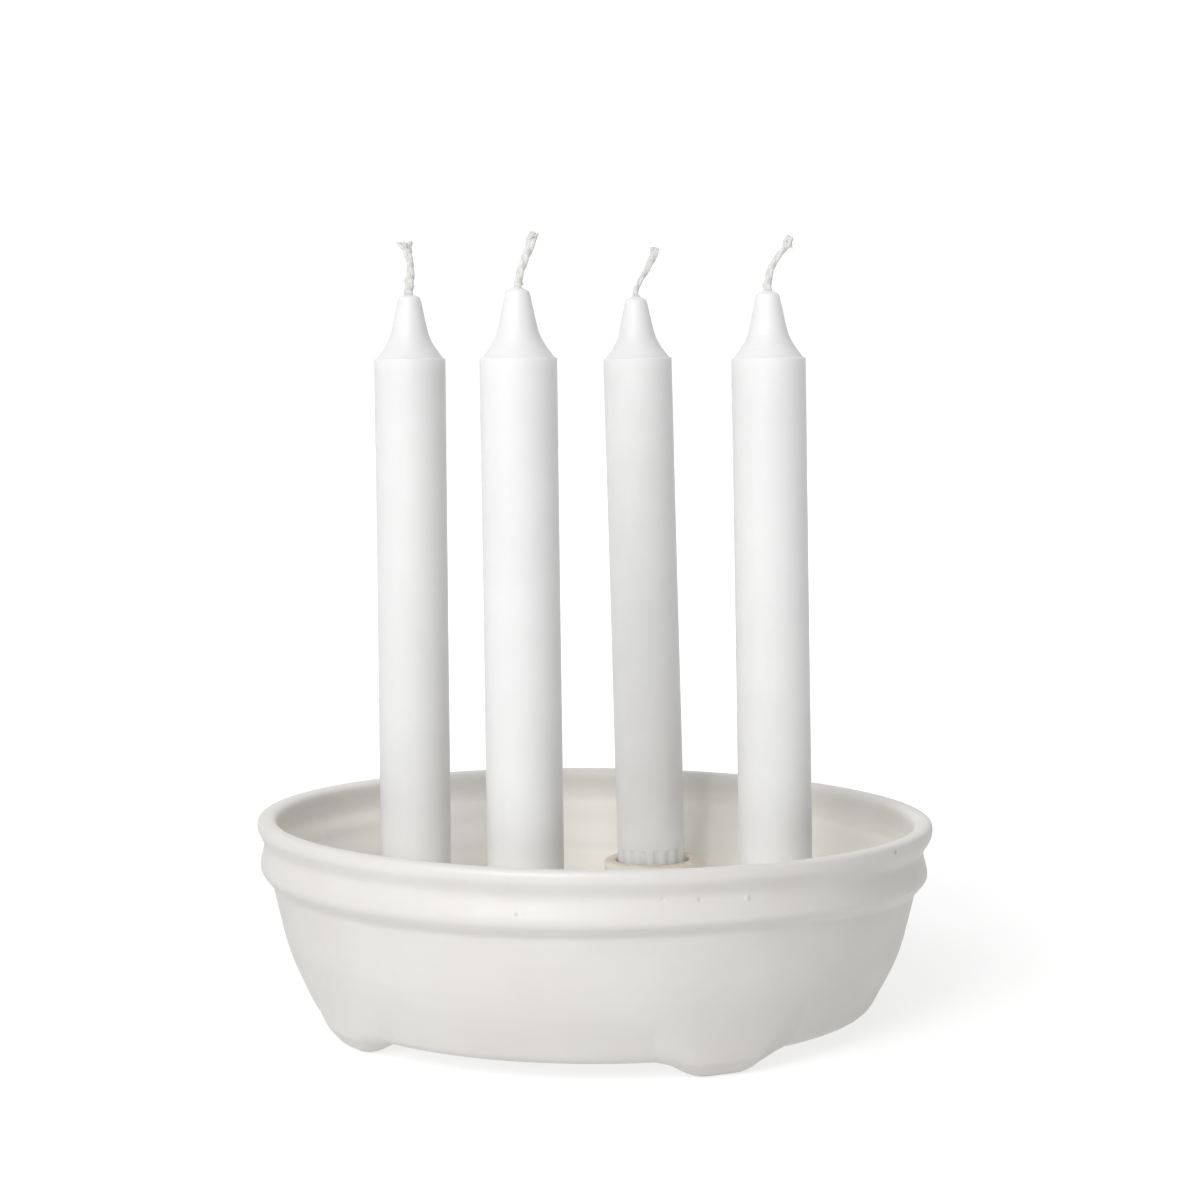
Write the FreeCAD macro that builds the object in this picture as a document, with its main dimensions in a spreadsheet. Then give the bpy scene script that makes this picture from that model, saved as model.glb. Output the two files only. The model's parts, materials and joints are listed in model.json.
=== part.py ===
import FreeCAD, Part
import math
import os
import re

import PartDesign
import Sketcher

# A thrown stoneware plate with a raised wall on four pinched feet. Four candle cups stand on
# its floor, and each holds one crown candle, which lifts out along its own leaning axis.
# Millimetres. +Z is up, and the origin is on the ground below the middle of the bowl.

# Driving sizes

SIZES = {
    # The candle, a standard crown candle, which sets the scale of the whole part
    "candle_diameter": 22.0,
    "candle_length": 200.0,
    "crown_height": 19.6,
    "crown_ledge": 1.3,
    "crown_hollow_round": 28.0,
    "crown_tip_radius": 3.3,
    "crown_tip_round": 1.7,
    "base_taper": 0.5,
    "base_edge_round": 0.6,
    "flute_length": 22.0,
    "flute_cutter_radius": 1.7,
    "flute_depth": 0.55,
    "flute_taper_angle": 2.0,
    # The wick, a round cotton braid through the whole candle
    "wick_diameter": 2.2,
    "wick_clearance": 0.1,
    # The cups
    "cup_clearance": 1.0,
    "cup_wall": 3.65,
    "cup_depth": 18.1,
    "cup_bottom": 9.5,
    "cup_mouth_round": 1.4,
    "cup_flare": 2.0,
    "cup_flare_height": 3.2,
    "cup_flare_round": 3.0,
    "cup_gap": 1.3,
    "seat_gap": 0.05,
    # The bowl
    "bowl_height": 63.0,
    "lip_radius": 102.5,
    "base_radius": 84.8,
    "underside_height": 5.4,
    "floor_thickness": 6.6,
    "wall_thickness": 5.0,
    "lip_thickness": 5.7,
    "lip_round": 2.6,
    "under_lip_round": 4.0,
    "waist_depth": 2.3,
    "waist_round": 4.0,
    "ridge_depth": 0.85,
    "ridge_round": 3.2,
    "crease_round": 6.0,
    "belly_round": 60.0,
    "base_corner_round": 5.0,
    "ledge_depth": 1.5,
    "ledge_round": 2.0,
    "floor_corner_round": 9.0,
    # The feet
    "foot_sole_depth": 9.2,
    "foot_sole_width": 18.3,
    "foot_sole_inset": 1.2,
    "foot_neck_depth": 15.0,
    "foot_neck_width": 33.0,
    "foot_bulge": 1.4,
    "foot_root_depth": 22.0,
    "foot_root_width": 41.0,
    "foot_root_reach": 1.0,
    "foot_cover": 0.5,
    "foot_sole_round": 4.4,
    "foot_neck_round": 7.0,
    "foot_root_round": 10.0,
    "foot_edge_inset": 0.9,
    "foot_edge_height": 1.1,
}

# Counts and angles, in degrees about the bowl

FLUTE_COUNT = 16
CUP_ANGLES = (180.0, 270.0, 90.0, 0.0)

# The feet were pinched and set by eye, so their angles and sizes are a little uneven. Each is
# this share of the full foot in width and depth, and is set in by a share of its sole's depth.
FOOT_ANGLES = (46.0, 136.0, 231.5, 315.5)
FOOT_SHARES = (0.9, 0.95, 0.64, 1.0)
FOOT_SET_IN_SHARES = (0.0, 0.0, 0.2, 0.0)

# Each candle stands askew in its loose cup. All four lean straight away from one heading, each
# by its own share of the angle that the play in the cup allows, and one stands against the
# other side of its cup, at this share of the clearance along the heading.
LEAN_HEADING = 19.05
LEAN_SHARES = (0.062, 0.114, 0.268, 0.178)
ASIDE_SHARES = (-0.55, 0.0, 0.0, 0.0)

# Heights on the wall, as shares of its rise from underside to rim

BELLY_HEIGHT_SHARE = 0.302
CREASE_HEIGHT_SHARE = 0.63
RIDGE_HEIGHT_SHARE = 0.734
WAIST_HEIGHT_SHARE = 0.837
UNDER_LIP_HEIGHT_SHARE = 0.918
LEDGE_TOP_HEIGHT_SHARE = 0.856
LEDGE_FOOT_HEIGHT_SHARE = 0.811
LEDGE_END_HEIGHT_SHARE = 0.733

# Distances out from the base radius, as shares of the spread from base to lip

BELLY_SPREAD_SHARE = 0.484
CREASE_SPREAD_SHARE = 0.729

# How much of its radius the floor's corner curve takes from the flat floor
FLOOR_CURVE_SHARE = 0.64

# The crown's outline bends where its flare meets the neck.
NECK_HEIGHT_SHARE = 0.29
NECK_RADIUS_SHARE = 0.563

# Each wick's free end: how far its points stand to the side of the candle's axis and above the
# crown. It bends in the plane of the candle's lean.
WICK_TAILS = (
    ((0.0, 1.2), (0.6, 4.6), (0.7, 8.4), (0.2, 12.2), (-0.1, 16.4)),
    ((0.0, 1.2), (1.6, 5.4), (4.3, 11.2), (5.8, 15.7)),
    ((0.0, 1.4), (1.9, 5.2), (5.8, 12.0), (6.9, 15.6)),
    ((0.0, 2.6), (0.8, 6.2), (3.2, 10.4), (5.9, 13.3), (7.1, 16.0)),
)

# A bend takes this share of the shorter run beside it, and a round on an outline is no larger
# than this share of the shorter side beside it allows.
BEND_SHARE = 0.45
ROOM_SHARE = 0.48

# A volume may differ from the one worked out by this share.
VOLUME_SHARE = 0.001

doc = FreeCAD.newDocument("CandlePlate")


def make_sheet():
    """The sheet of driving sizes, one named cell each."""
    cells = doc.addObject("Spreadsheet::Sheet", "Sizes")
    for row, (name, value) in enumerate(SIZES.items(), start=1):
        cells.set(f"A{row}", name)
        cells.set(f"B{row}", str(value))
        cells.setAlias(f"B{row}", name)
    doc.recompute()
    return cells


sheet = make_sheet()


def on_sheet(formula):
    """A formula of size names, as an expression in another object reads it."""

    def cell(word):
        return f"Sizes.{word[0]}" if word[0] in SIZES else word[0]

    return re.sub(r"[a-z_]+", cell, formula)


def size(formula):
    """The value of a formula of size names."""
    return float(sheet.evalExpression(on_sheet(formula)))


# Formulas that several pieces share

CANDLE_RADIUS = "candle_diameter / 2"
WICK_BORE = "wick_diameter / 2 + wick_clearance"
CUP_BORE = "(candle_diameter / 2 + cup_clearance)"
CUP_RADIUS = f"({CUP_BORE} + cup_wall)"
RISE = "(bowl_height - underside_height)"
SPREAD = "(lip_radius - base_radius)"
FLOOR_HEIGHT = "(underside_height + floor_thickness)"
FLANK_SLOPE = f"({BELLY_SPREAD_SHARE} * {SPREAD} / ({BELLY_HEIGHT_SHARE} * {RISE}))"
FLOOR_RADIUS = f"(base_radius + {FLANK_SLOPE} * floor_thickness - wall_thickness)"
FLOOR_EDGE = f"({FLOOR_RADIUS} - {FLOOR_CURVE_SHARE} * floor_corner_round)"
CUP_CIRCLE = f"({FLOOR_EDGE} - cup_gap - cup_flare - {CUP_RADIUS})"
LEDGE_RADIUS = "lip_radius - lip_thickness - ledge_depth"


def wall_height(share):
    """The height of a point on the wall, at this share of its rise."""
    return f"underside_height + {share} * {RISE}"


def wall_radius(share):
    """The radius of a point on the wall, at this share of its spread."""
    return f"base_radius + {share} * {SPREAD}"


def new_body(label):
    body = doc.addObject("PartDesign::Body", label)
    body.Label = label
    return body


def new_sketch(body, label, role, lift=None):
    """A sketch on one of the body's own origin planes, raised along its normal by a formula."""
    sketch = body.newObject("Sketcher::SketchObject", f"{body.Name}_{label}")
    plane = next(feature for feature in body.Origin.OriginFeatures if feature.Role == role)
    sketch.AttachmentSupport = [(plane, "")]
    sketch.MapMode = "FlatFace"
    if lift is not None:
        sketch.setExpression("AttachmentOffset.Base.z", on_sheet(lift))
    return sketch


def bind(sketch, kind, where, name, formula):
    """Adds one named dimension to a sketch and binds it to the sheet."""
    index = sketch.addConstraint(Sketcher.Constraint(kind, *where, size(formula)))
    sketch.renameConstraint(index, name)
    sketch.setExpression(f"Constraints.{name}", on_sheet(formula))


def bend_at(before, corner, after, radius):
    """The arc of this radius that rounds a corner, as its tangent points, centre and turn."""
    incoming = (corner - before).normalize()
    outgoing = (after - corner).normalize()
    turn = incoming.getAngle(outgoing)
    reach = radius * math.tan(turn / 2)
    start = corner - incoming * reach
    end = corner + outgoing * reach
    towards = (outgoing - incoming).normalize()
    centre = corner + towards * (radius / math.cos(turn / 2))
    left = incoming.cross(outgoing).z > 0
    return start, end, centre, left


def arc_edge(start, end, centre, left):
    """The arc of a bend. Arcs run counterclockwise, so a right turn has its ends swapped."""
    first, last = (start, end) if left else (end, start)
    angles = [math.atan2(point.y - centre.y, point.x - centre.x) for point in (first, last)]
    circle = Part.Circle(centre, FreeCAD.Vector(0, 0, 1), (start - centre).Length)
    return Part.ArcOfCircle(circle, *angles)


def room_for(before, corner, after):
    """The largest radius that the sides of a corner have room for."""
    turn = (corner - before).getAngle(after - corner)
    shorter = min((corner - before).Length, (after - corner).Length)
    return ROOM_SHARE * shorter / math.tan(turn / 2)


def draw_outline(sketch, corners):
    """A closed outline through named corners, each held by two dimensions that the sheet drives.

    A corner is its name, its two places as formulas, and the formula of its round, or None.
    A round that its sides have no room for gets what they have.
    """
    places = [FreeCAD.Vector(size(across), size(up), 0) for _, across, up, _ in corners]
    count = len(corners)
    bends = []
    for index, (_, _, _, rounding) in enumerate(corners):
        beside = (places[index - 1], places[index], places[(index + 1) % count])
        if rounding is None:
            bends.append(None)
        else:
            bends.append(bend_at(*beside, min(size(rounding), room_for(*beside))))
    sides = []
    for index in range(count):
        following = (index + 1) % count
        start = bends[index][1] if bends[index] else places[index]
        end = bends[following][0] if bends[following] else places[following]
        sides.append(sketch.addGeometry(Part.LineSegment(start, end)))
    for index, (name, across, up, rounding) in enumerate(corners):
        before, after = sides[index - 1], sides[index]
        if rounding is None:
            sketch.addConstraint(Sketcher.Constraint("Coincident", before, 2, after, 1))
            held = (after, 1)
        else:
            arc = sketch.addGeometry(arc_edge(*bends[index]))
            first, last = (1, 2) if bends[index][3] else (2, 1)
            sketch.addConstraint(Sketcher.Constraint("Tangent", before, 2, arc, first))
            sketch.addConstraint(Sketcher.Constraint("Tangent", arc, last, after, 1))
            mark = sketch.addGeometry(Part.Point(places[index]), True)
            sketch.addConstraint(Sketcher.Constraint("PointOnObject", mark, 1, before))
            sketch.addConstraint(Sketcher.Constraint("PointOnObject", mark, 1, after))
            held = (mark, 1)
            beside = (places[index - 1], places[index], places[(index + 1) % count])
            if size(rounding) <= room_for(*beside):
                bind(sketch, "Radius", (arc,), f"{name}_round", rounding)
            else:
                sketch.addConstraint(Sketcher.Constraint("Radius", arc, room_for(*beside)))
        bind(sketch, "DistanceX", (-1, 1, *held), f"{name}_across", across)
        bind(sketch, "DistanceY", (-1, 1, *held), f"{name}_up", up)


def draw_circle(sketch, across, radius):
    """A circle on the sketch's first axis, held by two dimensions that the sheet drives."""
    centre = FreeCAD.Vector(size(across), 0, 0)
    circle = sketch.addGeometry(Part.Circle(centre, FreeCAD.Vector(0, 0, 1), size(radius)))
    bind(sketch, "Radius", (circle,), "radius", radius)
    bind(sketch, "DistanceX", (-1, 1, circle, 3), "across", across)
    sketch.addConstraint(Sketcher.Constraint("PointOnObject", circle, 3, -1))


def turn_outline(body, corners):
    """The solid that an outline in the XZ plane makes round the vertical axis."""
    sketch = new_sketch(body, "outline", "XZ_Plane")
    draw_outline(sketch, corners)
    turned = body.newObject("PartDesign::Revolution", f"{body.Name}_turned")
    turned.Profile = sketch
    turned.ReferenceAxis = (sketch, ["V_Axis"])
    turned.Angle = 360
    doc.recompute()
    return turned


def cut_upwards(body, sketch, label):
    """A pocket from the underside up into the solid."""
    pocket = body.newObject("PartDesign::Pocket", f"{body.Name}_{label}")
    pocket.Profile = sketch
    pocket.Reversed = True
    return pocket


# The bowl

def make_bowl():
    body = new_body("bowl")
    crease = wall_radius(CREASE_SPREAD_SHARE)
    belly = wall_radius(BELLY_SPREAD_SHARE)
    lip_inside = "lip_radius - lip_thickness"
    turn_outline(body, [
        ("underside", "0", "underside_height", None),
        ("base", "base_radius", "underside_height", "base_corner_round"),
        ("belly", belly, wall_height(BELLY_HEIGHT_SHARE), "belly_round"),
        ("crease", crease, wall_height(CREASE_HEIGHT_SHARE), "crease_round"),
        ("ridge", "lip_radius - ridge_depth", wall_height(RIDGE_HEIGHT_SHARE), "ridge_round"),
        ("waist", "lip_radius - waist_depth", wall_height(WAIST_HEIGHT_SHARE), "waist_round"),
        ("under_lip", "lip_radius", wall_height(UNDER_LIP_HEIGHT_SHARE), "under_lip_round"),
        ("lip_outside", "lip_radius", "bowl_height", "lip_round"),
        ("lip_inside", lip_inside, "bowl_height", "lip_round"),
        ("ledge_top", lip_inside, wall_height(LEDGE_TOP_HEIGHT_SHARE), "ledge_round"),
        ("ledge_foot", LEDGE_RADIUS, wall_height(LEDGE_FOOT_HEIGHT_SHARE), "ledge_round"),
        ("ledge_end", LEDGE_RADIUS, wall_height(LEDGE_END_HEIGHT_SHARE), "crease_round"),
        ("inner_crease", f"{crease} - wall_thickness", wall_height(CREASE_HEIGHT_SHARE), "crease_round"),
        ("inner_belly", f"{belly} - wall_thickness", wall_height(BELLY_HEIGHT_SHARE), "belly_round"),
        ("floor_corner", FLOOR_RADIUS, FLOOR_HEIGHT, "floor_corner_round"),
        ("floor", "0", FLOOR_HEIGHT, None),
    ])
    return body


# The feet

def draw_foot_section(body, label, height, outer_edge, depth, width, rounding):
    """One rounded oblong through a foot, with its outer edge at a given radius of the bowl."""
    sketch = new_sketch(body, label, "XY_Plane", height)
    inner_edge = f"{outer_edge} - {depth}"
    draw_outline(sketch, [
        ("inner_right", inner_edge, f"-{width} / 2", rounding),
        ("outer_right", outer_edge, f"-{width} / 2", rounding),
        ("outer_left", outer_edge, f"{width} / 2", rounding),
        ("inner_left", inner_edge, f"{width} / 2", rounding),
    ])
    return sketch


def make_foot(label, angle, share, set_in_share, bowl):
    """A pinched lug: lofted from its soft-edged sole into the wall, and cut off by the bowl."""
    lug = new_body(f"{label}_lug")
    sole_edge = "base_radius - foot_sole_inset"
    contact_edge = f"{sole_edge} - foot_edge_inset"
    neck_edge = "base_radius + foot_bulge"
    root_edge = "base_radius + foot_root_reach"
    root_height = f"{FLOOR_HEIGHT} - foot_cover"
    sole_depth = f"{share} * foot_sole_depth"
    sole_width = f"{share} * foot_sole_width"
    edge_loss = "2 * foot_edge_inset"
    sections = [
        draw_foot_section(lug, name, height, edge, f"({depth})", f"({width})", rounding)
        for name, height, edge, depth, width, rounding in (
            (
                "contact",
                "0",
                contact_edge,
                f"{sole_depth} - {edge_loss}",
                f"{sole_width} - {edge_loss}",
                "foot_sole_round",
            ),
            ("sole", "foot_edge_height", sole_edge, sole_depth, sole_width, "foot_sole_round"),
            (
                "neck",
                "underside_height",
                neck_edge,
                f"{share} * foot_neck_depth",
                f"{share} * foot_neck_width",
                "foot_neck_round",
            ),
            (
                "root",
                root_height,
                root_edge,
                f"{share} * foot_root_depth",
                f"{share} * foot_root_width",
                "foot_root_round",
            ),
        )
    ]
    loft = lug.newObject("PartDesign::AdditiveLoft", f"{lug.Name}_loft")
    loft.Profile = sections[0]
    loft.Sections = sections[1:]
    loft.Ruled = False
    doc.recompute()
    heading = FreeCAD.Rotation(FreeCAD.Vector(0, 0, 1), angle)
    set_in = FreeCAD.Vector(-set_in_share * size("foot_sole_depth"), 0, 0)
    lug.Placement = FreeCAD.Placement(heading.multVec(set_in), heading)
    foot = doc.addObject("Part::Cut", label)
    foot.Label = label
    foot.Base = lug
    foot.Tool = bowl
    return foot


# The cups

def make_cup(label, angle):
    body = new_body(label)
    mouth_height = "cup_bottom + cup_depth"
    turn_outline(body, [
        ("under", "0", "0", None),
        ("flare", f"{CUP_RADIUS} + cup_flare", "0", None),
        ("flare_top", CUP_RADIUS, "cup_flare_height", "cup_flare_round"),
        ("mouth_outside", CUP_RADIUS, mouth_height, "cup_mouth_round"),
        ("mouth_inside", CUP_BORE, mouth_height, "cup_mouth_round"),
        ("bore_foot", CUP_BORE, "cup_bottom", None),
        ("seat", "0", "cup_bottom", None),
    ])
    body.Placement.Base = cup_place(angle, size(FLOOR_HEIGHT))
    return body


def cup_place(angle, height):
    """A point on a cup's axis."""
    reach = size(CUP_CIRCLE)
    heading = math.radians(angle)
    return FreeCAD.Vector(reach * math.cos(heading), reach * math.sin(heading), height)


# The candles

def make_candle(label, placement):
    """A cast candle: turned outline, fluted base, and the bore that the wick fills."""
    body = new_body(label)
    shoulder_height = "candle_length - crown_height"
    turned = turn_outline(body, [
        ("under", "0", "0", None),
        ("base", f"{CANDLE_RADIUS} - base_taper", "0", "base_edge_round"),
        ("flute_top", CANDLE_RADIUS, "flute_length", None),
        ("shoulder", CANDLE_RADIUS, shoulder_height, None),
        ("ledge", f"{CANDLE_RADIUS} - crown_ledge", shoulder_height, None),
        (
            "neck",
            f"{NECK_RADIUS_SHARE} * {CANDLE_RADIUS}",
            f"{shoulder_height} + {NECK_HEIGHT_SHARE} * crown_height",
            "crown_hollow_round",
        ),
        ("tip_edge", "crown_tip_radius", "candle_length", "crown_tip_round"),
        ("tip", "0", "candle_length", None),
    ])

    flute_sketch = new_sketch(body, "flute_outline", "XY_Plane")
    flute_centre = f"{CANDLE_RADIUS} - base_taper - flute_depth + flute_cutter_radius"
    draw_circle(flute_sketch, flute_centre, "flute_cutter_radius")
    flute = cut_upwards(body, flute_sketch, "flute")
    flute.setExpression("Length", on_sheet("flute_length"))
    flute.setExpression("TaperAngle", "-1 * " + on_sheet("flute_taper_angle"))
    doc.recompute()
    flutes = body.newObject("PartDesign::PolarPattern", f"{body.Name}_flutes")
    flutes.Originals = [flute]
    flutes.Axis = (flute_sketch, ["N_Axis"])
    flutes.Angle = 360
    flutes.Occurrences = FLUTE_COUNT
    body.Tip = flutes
    doc.recompute()

    bore_sketch = new_sketch(body, "bore_outline", "XY_Plane")
    draw_circle(bore_sketch, "0", WICK_BORE)
    bore = cut_upwards(body, bore_sketch, "bore")
    bore.Type = "ThroughAll"
    doc.recompute()
    report_cuts(label, turned, flute, flutes, bore)
    body.Placement = placement
    return body


def report_cuts(label, turned, flute, flutes, bore):
    """Stops the build if a flute or the wick's bore took away nothing."""
    volumes = [feature.Shape.Volume for feature in (turned, flute, flutes, bore)]
    for before, after in zip(volumes, volumes[1:]):
        if after >= before:
            raise RuntimeError(f"{label}: a cut took nothing away, {volumes}")


# The wicks

def bent_path(points):
    """Straight runs joined by tangent arcs, with the radii of the arcs."""
    edges = []
    radii = []
    start = points[0]
    for before, corner, after in zip(points, points[1:], points[2:]):
        turn = (corner - before).getAngle(after - corner)
        shorter = min((corner - before).Length, (after - corner).Length)
        radii.append(BEND_SHARE * shorter / math.tan(turn / 2))
        bend = bend_at(before, corner, after, radii[-1])
        edges.append(Part.LineSegment(start, bend[0]))
        edges.append(arc_edge(*bend))
        start = bend[1]
    edges.append(Part.LineSegment(start, points[-1]))
    return edges, radii


def make_wick(label, tail, placement):
    """A round braid from the candle's underside to the end of its bent tail."""
    body = new_body(label)
    crown = size("candle_length")
    points = [FreeCAD.Vector(0, 0, 0)]
    points += [FreeCAD.Vector(aside, crown + above, 0) for aside, above in tail]
    edges, radii = bent_path(points)
    spine = new_sketch(body, "path", "XZ_Plane")
    for edge in edges:
        spine.addGeometry(edge)
    section = new_sketch(body, "section", "XY_Plane")
    draw_circle(section, "0", "wick_diameter / 2")
    doc.recompute()
    braid = body.newObject("PartDesign::AdditivePipe", f"{body.Name}_braid")
    braid.Profile = section
    braid.Spine = (spine, [f"Edge{number}" for number in range(1, len(edges) + 1)])
    doc.recompute()
    length = sum(edge.length() for edge in edges)
    expected = math.pi * size("wick_diameter / 2") ** 2 * length
    print(label, "length", round(length, 1), "radii", [round(radius, 1) for radius in radii])
    if abs(braid.Shape.Volume - expected) > VOLUME_SHARE * expected:
        raise RuntimeError(f"{label}: volume {braid.Shape.Volume}, and not {expected}")
    body.Placement = placement
    return body


def leaning_placement(angle, lean_share, aside_share):
    """Where a candle stands: its lower edge on the seat, askew about the middle of its cup."""
    play = math.atan2(size("2 * cup_clearance"), size("cup_depth"))
    lean = lean_share * play
    heading = FreeCAD.Rotation(FreeCAD.Vector(0, 0, 1), LEAN_HEADING)
    tilt = FreeCAD.Rotation(FreeCAD.Vector(0, 1, 0), -math.degrees(lean))
    base_swing = size("cup_depth / 2") * math.tan(lean)
    aside = heading.multVec(FreeCAD.Vector(base_swing + aside_share * size("cup_clearance"), 0, 0))
    edge_lift = size(CANDLE_RADIUS) * math.sin(lean)
    seat = size(f"{FLOOR_HEIGHT} + cup_bottom + seat_gap") + edge_lift
    return FreeCAD.Placement(cup_place(angle, seat) + aside, heading * tilt)


def check_and_export(parts):
    """Writes each sub-part to its file, once every object and shape is sound."""
    doc.recompute()
    for thing in doc.Objects:
        if {"Invalid", "Error"} & set(thing.State):
            raise RuntimeError(f"{thing.Label} failed: {thing.State}")
    for part in parts:
        if part.Shape.isNull() or not part.Shape.isValid() or len(part.Shape.Solids) != 1:
            raise RuntimeError(f"{part.Label} isn't one sound solid")
    os.makedirs("parts", exist_ok=True)
    for part in parts:
        part.Shape.exportStep(f"parts/{part.Label}.step")
        print(part.Label, "volume", round(part.Shape.Volume, 1))


def make_plate():
    bowl = make_bowl()
    parts = [bowl]
    for number, angle in enumerate(FOOT_ANGLES, start=1):
        share = FOOT_SHARES[number - 1]
        set_in_share = FOOT_SET_IN_SHARES[number - 1]
        parts.append(make_foot(f"foot_{number}", angle, share, set_in_share, bowl))
    for number, angle in enumerate(CUP_ANGLES, start=1):
        parts.append(make_cup(f"socket_{number}", angle))
    for number, angle in enumerate(CUP_ANGLES, start=1):
        placement = leaning_placement(angle, LEAN_SHARES[number - 1], ASIDE_SHARES[number - 1])
        parts.append(make_candle(f"candle_{number}", placement))
        parts.append(make_wick(f"wick_{number}", WICK_TAILS[number - 1], placement))
        axis = placement.Rotation.multVec(FreeCAD.Vector(0, 0, 1))
        print(f"candle_{number} lifts along", [round(part, 5) for part in axis])
    check_and_export(parts)


make_plate()
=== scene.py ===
import json
import math

import bpy
import numpy as np
from bpy.props import FloatProperty, FloatVectorProperty, IntProperty, PointerProperty
from bpy.types import Operator, Panel, PropertyGroup
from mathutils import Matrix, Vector


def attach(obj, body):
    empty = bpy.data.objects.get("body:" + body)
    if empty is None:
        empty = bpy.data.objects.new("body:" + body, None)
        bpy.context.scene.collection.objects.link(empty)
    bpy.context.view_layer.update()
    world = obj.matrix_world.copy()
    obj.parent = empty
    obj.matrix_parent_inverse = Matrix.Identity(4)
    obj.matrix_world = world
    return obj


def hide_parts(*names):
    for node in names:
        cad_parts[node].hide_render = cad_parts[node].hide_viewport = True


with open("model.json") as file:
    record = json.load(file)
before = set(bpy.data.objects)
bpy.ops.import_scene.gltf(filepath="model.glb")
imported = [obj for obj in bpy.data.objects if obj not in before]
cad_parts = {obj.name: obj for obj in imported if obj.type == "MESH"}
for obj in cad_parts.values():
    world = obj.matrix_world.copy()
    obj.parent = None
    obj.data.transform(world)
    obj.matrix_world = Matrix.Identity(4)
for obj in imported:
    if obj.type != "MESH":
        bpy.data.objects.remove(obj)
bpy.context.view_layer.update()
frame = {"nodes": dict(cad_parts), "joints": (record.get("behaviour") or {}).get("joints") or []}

bl_info = {
    "name": "Candle plate",
    "version": (1, 0, 0),
    "blender": (4, 5, 0),
    "location": "3D View > Sidebar > Candle plate",
    "description": "Dresses a thrown stoneware candle plate and its four crown candles",
    "category": "Object",
}

# Lengths are in millimetres until a mesh or a shader takes them. Those of the camera, the lamps
# and the settings are in metres.

MM = 0.001
NUMBERS = (1, 2, 3, 4)

# The photograph was taken from this heading, in degrees from the -Y side towards +X.
PHOTO_HEADING = 19.05

# Heights of the bowl's flat underside and of its floor, and the underside's radius
BASE_HEIGHT = 5.4
FLOOR_HEIGHT = 12.0
BASE_RADIUS = 84.0

# The bowl's outline, from the middle of its underside round to the middle of its floor: how far
# out, how high, and the radius of the round at that corner.
BOWL_CORNERS = (
    (0.0, BASE_HEIGHT, 0.0),
    (84.8, BASE_HEIGHT, 5.5),
    (93.4, 22.8, 60.0),
    (97.9, 42.7, 1.8),
    (101.9, 47.3, 3.4),
    (100.1, 54.9, 3.4),
    (102.7, 59.4, 4.0),
    (102.7, 63.2, 3.0),
    (96.8, 63.2, 2.8),
    (96.7, 52.6, 3.0),
    (95.3, 50.2, 4.0),
    (94.8, 47.0, 8.0),
    (92.7, 41.7, 8.0),
    (88.4, 22.8, 60.0),
    (83.05, FLOOR_HEIGHT, 10.0),
    (0.0, FLOOR_HEIGHT, 0.0),
)

# The wall was thrown by hand, so it isn't true. At each height, how far it strays: up with the
# cosine, up everywhere, up with the sine, out with the cosine of the angle from the right of the
# photographed view, and up in a swell at the front right.
WALL_STRAY = (
    (5.4, 0.0, 0.0, 0.0, 0.0, 0.0),
    (15.0, -0.3, 0.0, 0.0, 0.1, 0.0),
    (22.8, -0.6, 0.0, 0.0, 0.2, 0.2),
    (42.7, -1.6, -0.6, -0.5, 0.1, 2.6),
    (47.7, -1.6, -0.3, -0.2, 0.1, 1.6),
    (54.9, -1.6, -0.1, 0.0, 0.0, 1.2),
    (58.3, -1.3, -0.1, -0.2, 0.3, 1.0),
    (63.0, -0.9, -0.25, -0.3, 0.5, 0.4),
)
SWELL_ANGLE = -58.0
SWELL_SPREAD = 28.0

# The wall's slow waves: how far out, how many round the bowl, and turn in radians
WALL_WAVES = ((0.12, 2, 0.6), (0.07, 3, 2.1), (0.05, 5, 0.0))

# How far out the floor passes into the wall that strays, and the heights over which its waves
# grow to their full size
STRAY_FROM_TO = (76.0, 90.0)
WAVES_FROM_TO = (8.0, 40.0)

# Lengths in which the finger marks repeat: the broad and the fine ones inside, and those outside
BROAD_MARKS = 7.6
FINE_MARKS = 4.3
OUTER_MARKS = 5.2

# Small flaws in the glaze: angle about the bowl, height, radius of the mark, and how far it
# stands out. A pit as deep as the first one has dark clay in it.
CLAY_PIT = -0.5
GLAZE_MARKS = (
    (-13.5, 60.6, 1.1, CLAY_PIT),
    (-45.9, 54.1, 1.3, 0.35),
    (-60.0, 55.1, 0.9, -0.3),
    (-54.0, 54.6, 0.9, -0.3),
    (-84.2, 58.5, 0.8, -0.3),
    (-82.9, 51.1, 0.8, 0.3),
    (-107.8, 23.0, 1.2, 0.1),
    (-33.5, 12.2, 1.4, 0.12),
)

# The feet: angle about the bowl, size as a share of the full foot, and how far it is set in.
FEET = (
    (46.0, 0.9, 0.0),
    (136.0, 0.95, 0.0),
    (231.0, 0.76, 0.3),
    (315.5, 1.0, 0.0),
)

# A full foot: how far out its sole ends, how far out the lug may reach, the depth and half the
# width of its sole, and how much it widens with its height: outwards, inwards and to the sides
FOOT_EDGE = 83.3
FOOT_REACH = 86.4
FOOT_DEPTH = 9.2
FOOT_HALF_WIDTH = 9.0
FOOT_SPLAY_OUT = 0.62
FOOT_SPLAY_IN = 0.9
FOOT_FLARE = 1.15

# The round of a foot's corners at its sole, and how much it grows with height. The sides slope, so
# their skin is nearer than the level distance to it, by the last share.
FOOT_CORNER = 4.4
CORNER_GROWTH = 0.5
SIDE_SLANT = 0.72

# How far to either side of a foot its clay may reach, in degrees about the bowl, and in how many
# columns and in what steps along the bowl its skin is found
FOOT_SWEEP = 36.0
FOOT_COLUMNS = 181
FOOT_STEP = 0.5

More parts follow.
